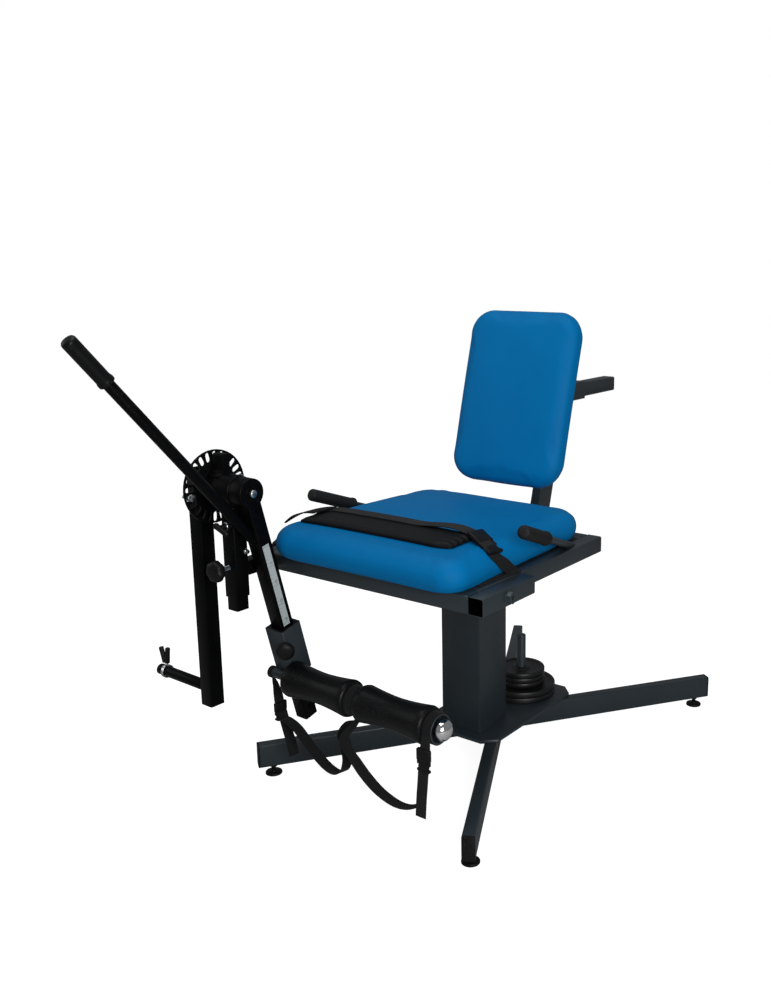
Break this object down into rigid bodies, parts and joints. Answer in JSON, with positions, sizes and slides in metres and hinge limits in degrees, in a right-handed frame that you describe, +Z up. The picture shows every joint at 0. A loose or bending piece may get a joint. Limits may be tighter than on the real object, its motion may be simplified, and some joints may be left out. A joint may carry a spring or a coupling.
{
  "type": "quadriceps exercise chair",
  "caption": "Upholstered exercise chair on a crossed base, with a plug-in lever arm, padded shin rollers, slotted range disc, hand lever and weight arm.",
  "frame": {"origin": "on the floor, at the centre of the whole outline seen from above", "axes": "+Z up; the sitter faces -Y; +X is towards the sitter's left"},
  "size_m": [1.0074, 1.6032, 1.1338],
  "materials": {
    "anthracite": "satin powder coat",
    "black_paint": "semi-gloss powder coat",
    "black_plastic": "matt moulded",
    "black_rubber": "matt moulded",
    "black_foam": "satin skinned foam",
    "cast_iron": "black enamel",
    "blue_vinyl": "satin imitation leather",
    "webbing": "woven",
    "zinc": "bright zinc plated",
    "chrome": "polished",
    "plywood": "raw"
  },
  "bodies": {
    "frame": {"leg_long": "anthracite", "leg_half_front": "anthracite", "leg_half_back": "anthracite", "leg_cap_1": "black_plastic", "leg_cap_2": "black_plastic", "leg_cap_3": "black_plastic", "leg_cap_4": "black_plastic", "base_plate": "anthracite", "column": "anthracite", "front_beam": "anthracite", "side_rail_left": "anthracite", "side_rail_right": "anthracite", "rear_beam": "anthracite", "cross_tube_front": "anthracite", "cross_tube_rear": "anthracite", "back_carrier": "anthracite", "receiver_left": "anthracite", "receiver_right": "anthracite", "grip_rod_left": "anthracite", "grip_rod_right": "anthracite", "hand_grip_left": "black_rubber", "hand_grip_right": "black_rubber", "back_post": "anthracite", "back_sleeve": "anthracite", "seat_board": "plywood", "seat_cushion": "blue_vinyl", "thigh_strap": "webbing", "thigh_webbing": "webbing"},
    "foot_1": {"levelling_foot_1": "black_plastic"},
    "foot_2": {"levelling_foot_2": "black_plastic"},
    "foot_3": {"levelling_foot_3": "black_plastic"},
    "foot_4": {"levelling_foot_4": "black_plastic"},
    "plate_large_1": {"plate_large_1": "cast_iron"},
    "plate_large_2": {"plate_large_2": "cast_iron"},
    "plate_small_1": {"plate_small_1": "cast_iron"},
    "plate_small_2": {"plate_small_2": "cast_iron"},
    "plate_small_3": {"plate_small_3": "cast_iron"},
    "backrest": {"back_slide": "anthracite", "back_cushion": "blue_vinyl"},
    "back_knob": {"back_knob": "black_plastic"},
    "receiver_knob": {"receiver_knob": "black_plastic"},
    "arm_carrier": {"arm_carrier": "black_paint"},
    "post_knob": {"post_knob": "black_plastic"},
    "height_plunger": {"height_plunger": "black_plastic"},
    "arm_post": {"arm_post": "black_paint"},
    "lever": {"range_disc": "black_paint", "stop_bolt": "zinc", "leg_lever": "black_paint", "hand_lever": "black_paint", "hand_lever_grip": "black_foam"},
    "weight_arm": {"weight_arm": "black_paint"},
    "spring_collar": {"spring_collar": "zinc"},
    "shin_slide": {"shin_slide": "anthracite", "slide_liner": "black_plastic", "roller_cap": "chrome", "ankle_strap_1": "webbing", "ankle_strap_2": "webbing"},
    "roller_1": {"roller_1": "black_foam"},
    "roller_2": {"roller_2": "black_foam"},
    "slide_knob": {"slide_knob": "black_plastic"}
  },
  "joints": [
    {"name": "foot_1_turn", "type": "hinge", "parent": "frame", "child": "foot_1", "pos_m": [0.46916, 0.71576, 0], "axis": [0, 0, 1], "continuous": true},
    {"name": "foot_2_turn", "type": "hinge", "parent": "frame", "child": "foot_2", "pos_m": [0.40854, -0.30464, 0], "axis": [0, 0, 1], "continuous": true},
    {"name": "foot_3_turn", "type": "hinge", "parent": "frame", "child": "foot_3", "pos_m": [-0.23405, -0.26647, 0], "axis": [0, 0, 1], "continuous": true},
    {"name": "foot_4_turn", "type": "hinge", "parent": "frame", "child": "foot_4", "pos_m": [-0.17342, 0.75394, 0], "axis": [0, 0, 1], "continuous": true},
    {"name": "plate_large_1_lift", "type": "slide", "parent": "frame", "child": "plate_large_1", "axis": [0, 0, 1], "range_m": [0, 0.165]},
    {"name": "plate_large_2_lift", "type": "slide", "parent": "plate_large_1", "child": "plate_large_2", "axis": [0, 0, 1], "range_m": [0, 0.05]},
    {"name": "plate_small_1_lift", "type": "slide", "parent": "plate_large_2", "child": "plate_small_1", "axis": [0, 0, 1], "range_m": [0, 0.04]},
    {"name": "plate_small_2_lift", "type": "slide", "parent": "plate_small_1", "child": "plate_small_2", "axis": [0, 0, 1], "range_m": [0, 0.04]},
    {"name": "plate_small_3_lift", "type": "slide", "parent": "plate_small_2", "child": "plate_small_3", "axis": [0, 0, 1], "range_m": [0, 0.04]},
    {"name": "backrest_slide", "type": "slide", "parent": "frame", "child": "backrest", "axis": [0, 1, 0], "range_m": [-0.06, 0.05]},
    {"name": "back_knob_turn", "type": "hinge", "parent": "frame", "child": "back_knob", "pos_m": [0.09256, 0.54465, 0.908], "axis": [1, 0, 0], "continuous": true},
    {"name": "receiver_knob_turn", "type": "hinge", "parent": "frame", "child": "receiver_knob", "pos_m": [-0.21674, -0.20635, 0.578], "axis": [1, 0, 0], "continuous": true},
    {"name": "arm_insert_slide", "type": "slide", "parent": "frame", "child": "arm_carrier", "axis": [0, -1, 0], "range_m": [0, 0.1]},
    {"name": "post_knob_turn", "type": "hinge", "parent": "arm_carrier", "child": "post_knob", "pos_m": [-0.18444, -0.41335, 0.587], "axis": [0, 1, 0], "continuous": true},
    {"name": "plunger_pull", "type": "slide", "parent": "arm_carrier", "child": "height_plunger", "axis": [0, -1, 0], "range_m": [0, 0.008], "stiffness_N_per_m": 400},
    {"name": "arm_height", "type": "slide", "parent": "arm_carrier", "child": "arm_post", "axis": [0, 0, 1], "range_m": [0, 0.08]},
    {"name": "lever_swing", "type": "hinge", "parent": "arm_post", "child": "lever", "pos_m": [0.11737, -0.40389, 0.764], "axis": [-0.9994, 0.0349, 0], "range_deg": [0, 86]},
    {"name": "weight_arm_turn", "type": "hinge", "parent": "lever", "child": "weight_arm", "pos_m": [-0.30037, -0.38931, 0.764], "axis": [-0.9994, 0.0349, 0], "range_deg": [-50, 50]},
    {"name": "collar_pull", "type": "slide", "parent": "weight_arm", "child": "spring_collar", "axis": [-0.9994, 0.0349, 0], "range_m": [0, 0.05]},
    {"name": "shin_slide_move", "type": "slide", "parent": "lever", "child": "shin_slide", "axis": [0.0087, 0.2502, -0.9681], "range_m": [-0.12, 0.05]},
    {"name": "roller_1_spin", "type": "hinge", "parent": "shin_slide", "child": "roller_1", "pos_m": [-0.10304, -0.31432, 0.30383], "axis": [0.9994, -0.0349, 0], "continuous": true},
    {"name": "roller_2_spin", "type": "hinge", "parent": "shin_slide", "child": "roller_2", "pos_m": [0.12682, -0.32235, 0.30383], "axis": [0.9994, -0.0349, 0], "continuous": true},
    {"name": "slide_knob_turn", "type": "hinge", "parent": "shin_slide", "child": "slide_knob", "pos_m": [-0.10531, -0.32859, 0.38792], "axis": [0.6828, -0.7088, -0.177], "continuous": true}
  ]
}
